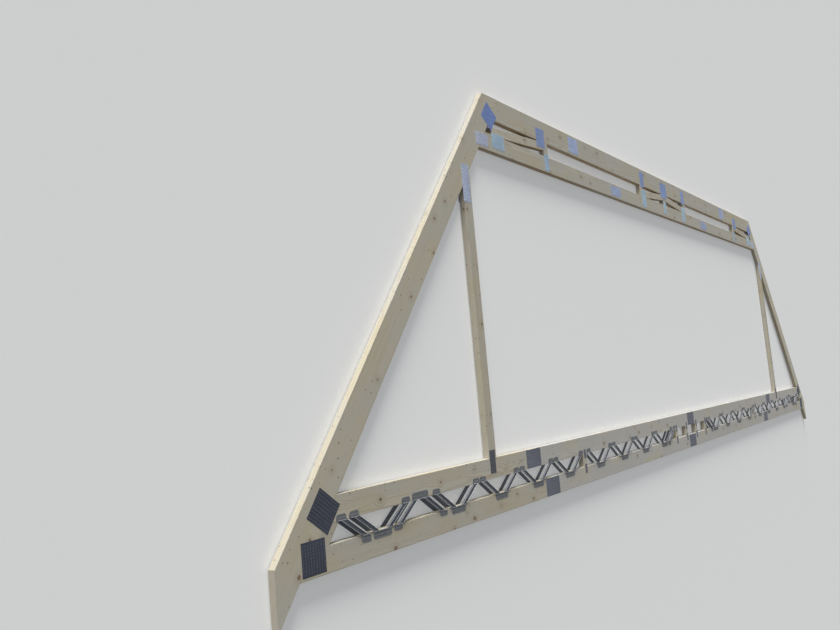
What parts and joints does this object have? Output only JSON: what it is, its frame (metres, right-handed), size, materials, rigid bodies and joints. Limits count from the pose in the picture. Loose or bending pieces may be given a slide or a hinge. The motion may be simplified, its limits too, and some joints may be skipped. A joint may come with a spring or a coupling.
{
  "type": "roof truss",
  "caption": "Timber roof truss with a flat top, a boxed ceiling beam, two posts and an open-web floor beam, joined by punched steel plates and webs.",
  "frame": {"origin": "middle of the outline's length and height, on the surface that the truss lies on", "axes": "+X along the span to the right, +Y up the truss from its floor beam to its flat top, +Z through its thickness, away from the surface it lies on"},
  "size_m": [12.96, 3.4274, 0.063],
  "materials": {
    "timber": "planed softwood, matte",
    "nail_plates": "galvanised, satin",
    "steel_webs": "galvanised, satin"
  },
  "bodies": {
    "root": {"apex_plates_left": "nail_plates", "apex_plates_right": "nail_plates", "ceiling_chord_left": "timber", "ceiling_chord_middle": "timber", "ceiling_chord_right": "timber", "ceiling_diagonal_1": "timber", "ceiling_diagonal_2": "timber", "ceiling_diagonal_3": "timber", "ceiling_diagonal_4": "timber", "ceiling_splice_plates_left": "nail_plates", "ceiling_splice_plates_right": "nail_plates", "ceiling_tie_left": "timber", "ceiling_tie_middle": "timber", "ceiling_tie_right": "timber", "ceiling_upright_1": "timber", "ceiling_upright_2": "timber", "ceiling_upright_3": "timber", "ceiling_upright_4": "timber", "ceiling_upright_5": "timber", "ceiling_web_plates_left": "nail_plates", "ceiling_web_plates_middle": "nail_plates", "ceiling_web_plates_right": "nail_plates", "floor_bottom_chord_1": "timber", "floor_bottom_chord_2": "timber", "floor_bottom_chord_3": "timber", "floor_bottom_chord_4": "timber", "floor_plates_left": "nail_plates", "floor_plates_middle": "nail_plates", "floor_plates_right": "nail_plates", "floor_strut_1": "timber", "floor_strut_2": "timber", "floor_strut_3": "timber", "floor_strut_4": "timber", "floor_strut_5": "timber", "floor_strut_6": "timber", "floor_top_chord_1": "timber", "floor_top_chord_2": "timber", "floor_top_chord_3": "timber", "floor_top_chord_4": "timber", "heel_plates_left": "nail_plates", "heel_plates_right": "nail_plates", "heel_strut_left": "timber", "heel_strut_right": "timber", "heel_webs_left": "steel_webs", "heel_webs_right": "steel_webs", "post_left": "timber", "post_plates_left": "nail_plates", "post_plates_right": "nail_plates", "post_right": "timber", "rafter_left": "timber", "rafter_right": "timber", "steel_webs_bay_1": "steel_webs", "steel_webs_bay_2": "steel_webs", "steel_webs_bay_3": "steel_webs", "steel_webs_bay_4": "steel_webs", "steel_webs_bay_5": "steel_webs", "steel_webs_bay_6": "steel_webs", "steel_webs_bay_7": "steel_webs", "steel_webs_bay_8": "steel_webs"}
  },
  "joints": []
}
